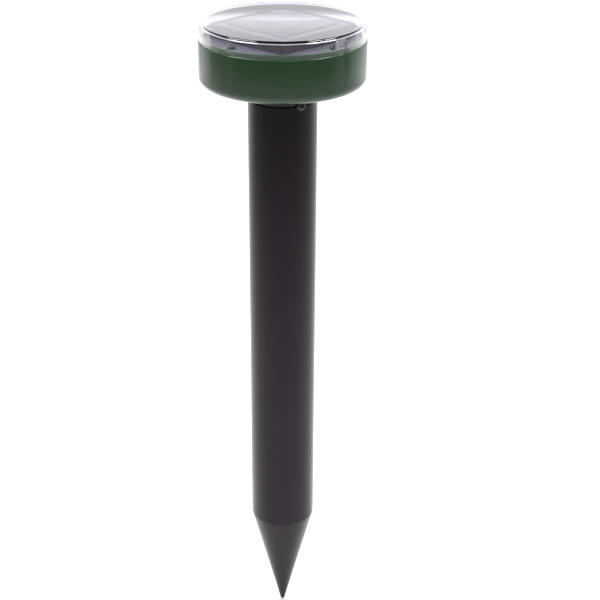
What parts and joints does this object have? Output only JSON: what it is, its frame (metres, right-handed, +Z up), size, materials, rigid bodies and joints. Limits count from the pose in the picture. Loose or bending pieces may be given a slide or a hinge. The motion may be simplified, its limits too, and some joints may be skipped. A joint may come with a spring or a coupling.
{
  "type": "ultrasonic pest repeller",
  "caption": "Solar pest repeller: round green head with a solar panel under a clear cover, on a hollow black ground stake that carries its speaker's sound into the soil.",
  "frame": {"origin": "on the stake's axis at the soil line, the flat underside of the head", "axes": "+Z up along the stake's axis, -Y towards the front, where the pictured side faces, +X to the viewer's right"},
  "size_m": [0.095, 0.095, 0.3948],
  "materials": {
    "stake_black": "satin black moulded plastic with a faint sheen",
    "screw_black": "black-oxide steel",
    "screw_steel": "nickel-plated steel, bright",
    "housing_green": "glossy dark green moulded plastic",
    "seal_rubber": "soft black rubber",
    "cover_clear": "clear polished polycarbonate, not glass",
    "tray_black": "black moulded plastic, fine satin",
    "panel_backing": "black laminated board",
    "silicon_cell": "dark blue-black silicon with silver grid lines",
    "panel_resin": "clear epoxy skin",
    "board_laminate": "green solder mask over laminate",
    "chip_black": "matt black moulded package",
    "capacitor_can": "bare aluminium can",
    "ferrite_dark": "dark sintered ferrite",
    "nylon_white": "natural white nylon",
    "cell_sleeve": "blue printed shrink sleeve over a steel can, left blank",
    "contact_plated": "nickel-plated spring steel",
    "foam_dark": "closed-cell foam",
    "speaker_steel": "zinc-plated pressed steel",
    "cone_paper": "pressed paper pulp",
    "coil_copper": "enamelled copper wire",
    "switch_steel": "plated steel can",
    "knob_black": "black moulded plastic",
    "lead_red": "red PVC insulation",
    "lead_black": "black PVC insulation"
  },
  "bodies": {
    "repeller": {"stake_tube": "stake_black", "neck_screw_1": "screw_black", "neck_screw_2": "screw_black", "head_housing": "housing_green", "cover_gasket": "seal_rubber", "clear_cover": "cover_clear", "panel_tray": "tray_black", "tray_screw_1": "screw_black", "tray_screw_2": "screw_black", "tray_screw_3": "screw_black", "tray_screw_4": "screw_black", "solar_board": "panel_backing", "solar_cell_1": "silicon_cell", "solar_cell_2": "silicon_cell", "solar_cell_3": "silicon_cell", "solar_cell_4": "silicon_cell", "panel_resin": "panel_resin", "main_board": "board_laminate", "board_screw_1": "screw_steel", "board_screw_2": "screw_steel", "board_screw_3": "screw_steel", "board_screw_4": "screw_steel", "controller_chip": "chip_black", "capacitor": "capacitor_can", "inductor": "ferrite_dark", "transistor": "chip_black", "panel_connector": "nylon_white", "battery_cradle_left": "tray_black", "battery_cell_left": "cell_sleeve", "button_contact_left": "contact_plated", "battery_spring_left": "contact_plated", "battery_cradle_right": "tray_black", "battery_cell_right": "cell_sleeve", "button_contact_right": "contact_plated", "battery_spring_right": "contact_plated", "speaker_foam": "foam_dark", "speaker_basket": "speaker_steel", "speaker_front_plate": "speaker_steel", "speaker_magnet": "ferrite_dark", "speaker_yoke": "speaker_steel", "cone_surround": "seal_rubber", "switch_housing": "switch_steel", "switch_screw_1": "screw_steel", "switch_screw_2": "screw_steel", "panel_lead_red": "lead_red", "panel_lead_black": "lead_black", "speaker_lead_red": "lead_red", "speaker_lead_black": "lead_black", "battery_lead_red": "lead_red", "battery_lead_black": "lead_black", "battery_link": "lead_black", "switch_lead_red": "lead_red", "switch_lead_black": "lead_black"},
    "cone_body": {"speaker_cone": "cone_paper", "voice_coil": "coil_copper"},
    "knob_body": {"switch_knob": "knob_black"}
  },
  "joints": [
    {"name": "switch_slide", "type": "slide", "parent": "repeller", "child": "knob_body", "axis": [1, 0, 0], "range_m": [0, 0.0025]},
    {"name": "cone_travel", "type": "slide", "parent": "repeller", "child": "cone_body", "axis": [0, 0, 1], "range_m": [-0.0005, 0.0005], "stiffness_N_per_m": 2500}
  ]
}
